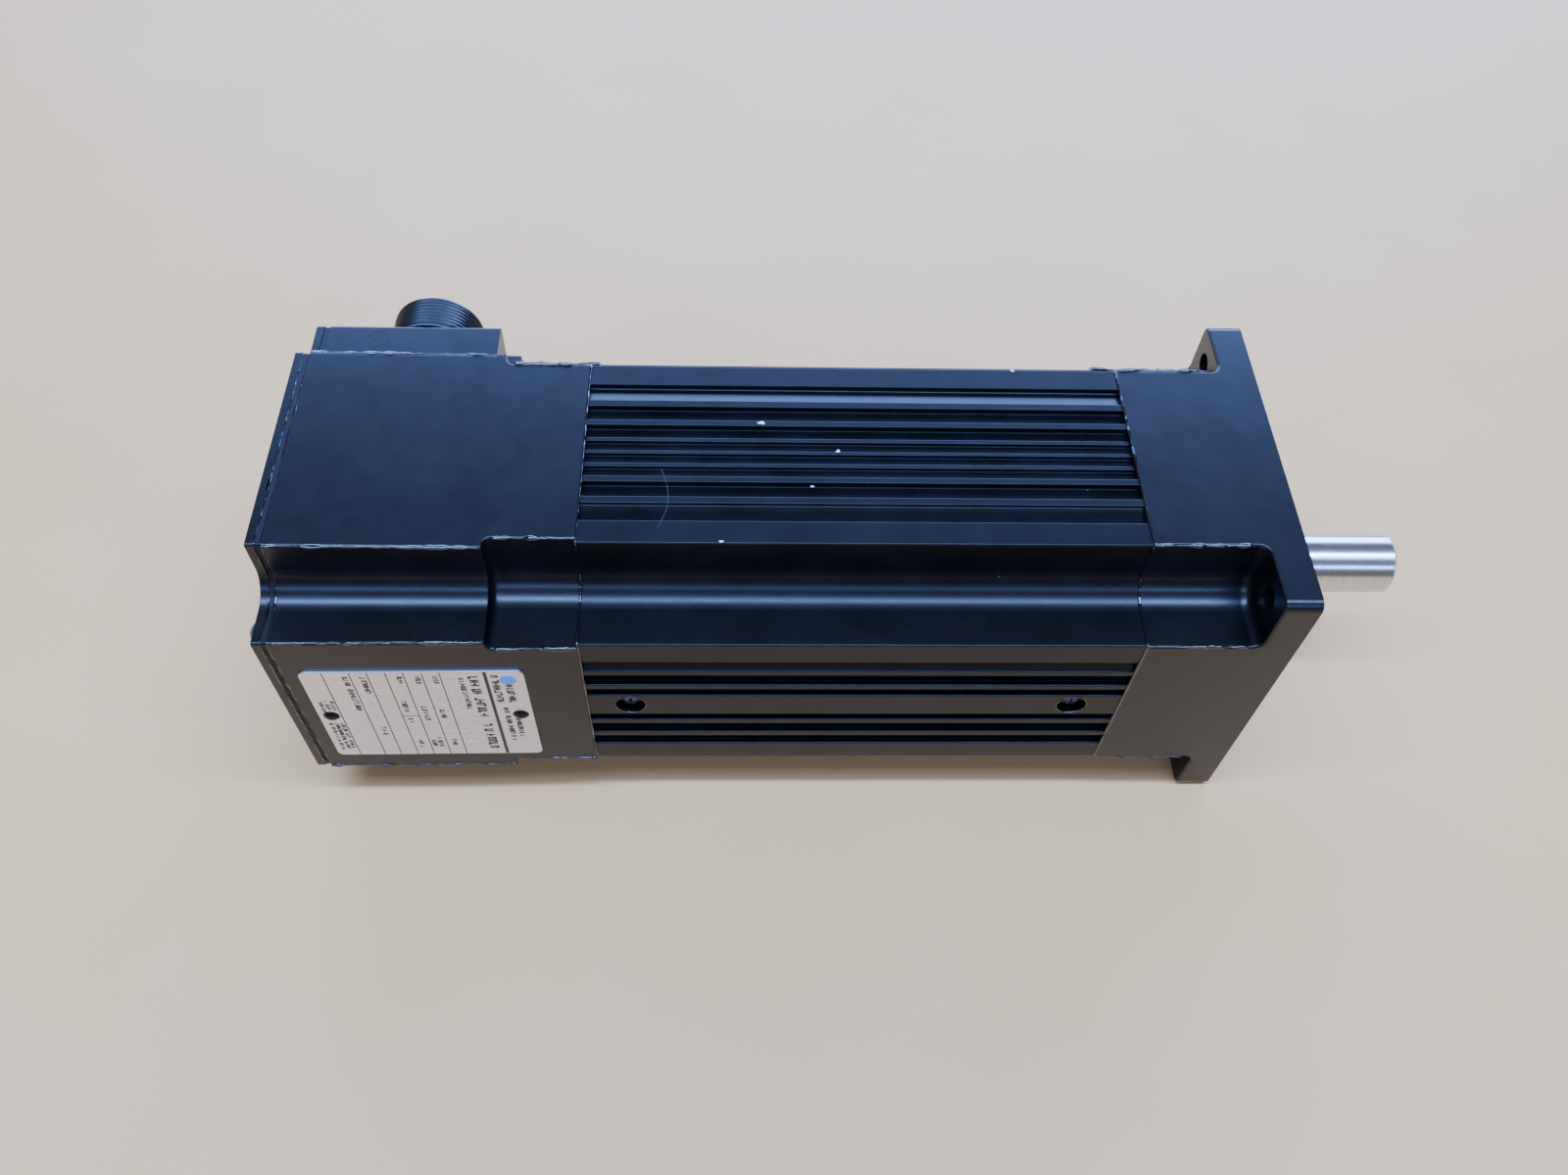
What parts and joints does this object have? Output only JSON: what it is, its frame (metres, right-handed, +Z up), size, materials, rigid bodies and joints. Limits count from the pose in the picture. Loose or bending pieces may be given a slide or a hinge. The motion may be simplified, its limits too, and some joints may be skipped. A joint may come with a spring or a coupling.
{
  "type": "brushless servomotor",
  "caption": "Black finned brushless servomotor with a square flange, round steel shaft, rear feedback housing and threaded side connectors.",
  "frame": {"origin": "on the shaft axis, at the flange's front mounting face", "axes": "+X out along the shaft, +Y towards the connectors, +Z up with the motor lying on its side"},
  "size_m": [0.3436, 0.1264, 0.1081],
  "materials": {
    "paint_black": "semi-gloss black enamel on cast and extruded aluminium",
    "gasket_painted": "black painted-over gasket edge",
    "plate_aluminium": "satin anodised plate with black printed rules",
    "rivet_steel": "darkened drive rivet",
    "ground_steel": "ground and polished shaft steel",
    "bearing_steel": "polished bearing steel",
    "cage_polymer": "glass-filled nylon",
    "spring_steel": "phosphated spring steel",
    "lamination_steel": "stacked electrical steel",
    "magnet_nickel": "nickel-plated magnet",
    "sleeve_composite": "glass-fibre banding in resin",
    "balance_brass": "turned brass",
    "winding_copper": "varnished copper wire",
    "wedge_paper": "slot insulation",
    "seal_rubber": "nitrile rubber",
    "shell_black": "black anodised aluminium shell",
    "insert_neoprene": "dark moulded insert",
    "pin_gold": "gold-plated contact",
    "lead_sleeve": "sleeved wire bundle"
  },
  "bodies": {
    "motor_body": {"front_housing": "paint_black", "stator_housing": "paint_black", "rear_housing": "paint_black", "rear_cover": "paint_black", "rear_cover_screws": "paint_black", "housing_screws": "paint_black", "rear_gasket": "gasket_painted", "name_plate": "plate_aluminium", "name_plate_rivets": "rivet_steel", "front_bearing_outer_ring": "bearing_steel", "rear_bearing_outer_ring": "bearing_steel", "preload_spring": "spring_steel", "bearing_retaining_ring": "spring_steel", "resolver_clamps": "spring_steel", "resolver_clamp_screws": "spring_steel", "stator_core": "lamination_steel", "resolver_stator": "lamination_steel", "stator_windings": "winding_copper", "front_end_turns": "winding_copper", "rear_end_turns": "winding_copper", "slot_wedges": "wedge_paper", "shaft_seal": "seal_rubber", "lead_grommet": "seal_rubber", "connector_washers": "seal_rubber", "power_connector_shell": "shell_black", "feedback_connector_shell": "shell_black", "power_connector_insert": "insert_neoprene", "feedback_connector_insert": "insert_neoprene", "power_connector_pins": "pin_gold", "feedback_connector_pins": "pin_gold", "power_leads": "lead_sleeve", "feedback_leads": "lead_sleeve"},
    "rotor": {"shaft": "ground_steel", "rotor_core": "lamination_steel", "rotor_magnets": "magnet_nickel", "magnet_sleeve": "sleeve_composite", "balance_rings": "balance_brass", "front_bearing_inner_ring": "bearing_steel", "rear_bearing_inner_ring": "bearing_steel", "resolver_rotor": "lamination_steel", "resolver_collar": "spring_steel"},
    "front_cage": {"front_bearing_cage": "cage_polymer", "front_bearing_balls": "bearing_steel"},
    "rear_cage": {"rear_bearing_cage": "cage_polymer", "rear_bearing_balls": "bearing_steel"}
  },
  "joints": [
    {"name": "shaft_spin", "type": "hinge", "parent": "motor_body", "child": "rotor", "pos_m": [0, 0, 0], "axis": [1, 0, 0], "continuous": true},
    {"name": "front_cage_spin", "type": "hinge", "parent": "motor_body", "child": "front_cage", "pos_m": [-0.0195, 0, 0], "axis": [1, 0, 0], "continuous": true},
    {"name": "rear_cage_spin", "type": "hinge", "parent": "motor_body", "child": "rear_cage", "pos_m": [-0.21, 0, 0], "axis": [1, 0, 0], "continuous": true}
  ],
  "couplings": [
    {"joint": "front_cage_spin", "follows": "shaft_spin", "ratio": 0.3969},
    {"joint": "rear_cage_spin", "follows": "shaft_spin", "ratio": 0.3818}
  ]
}
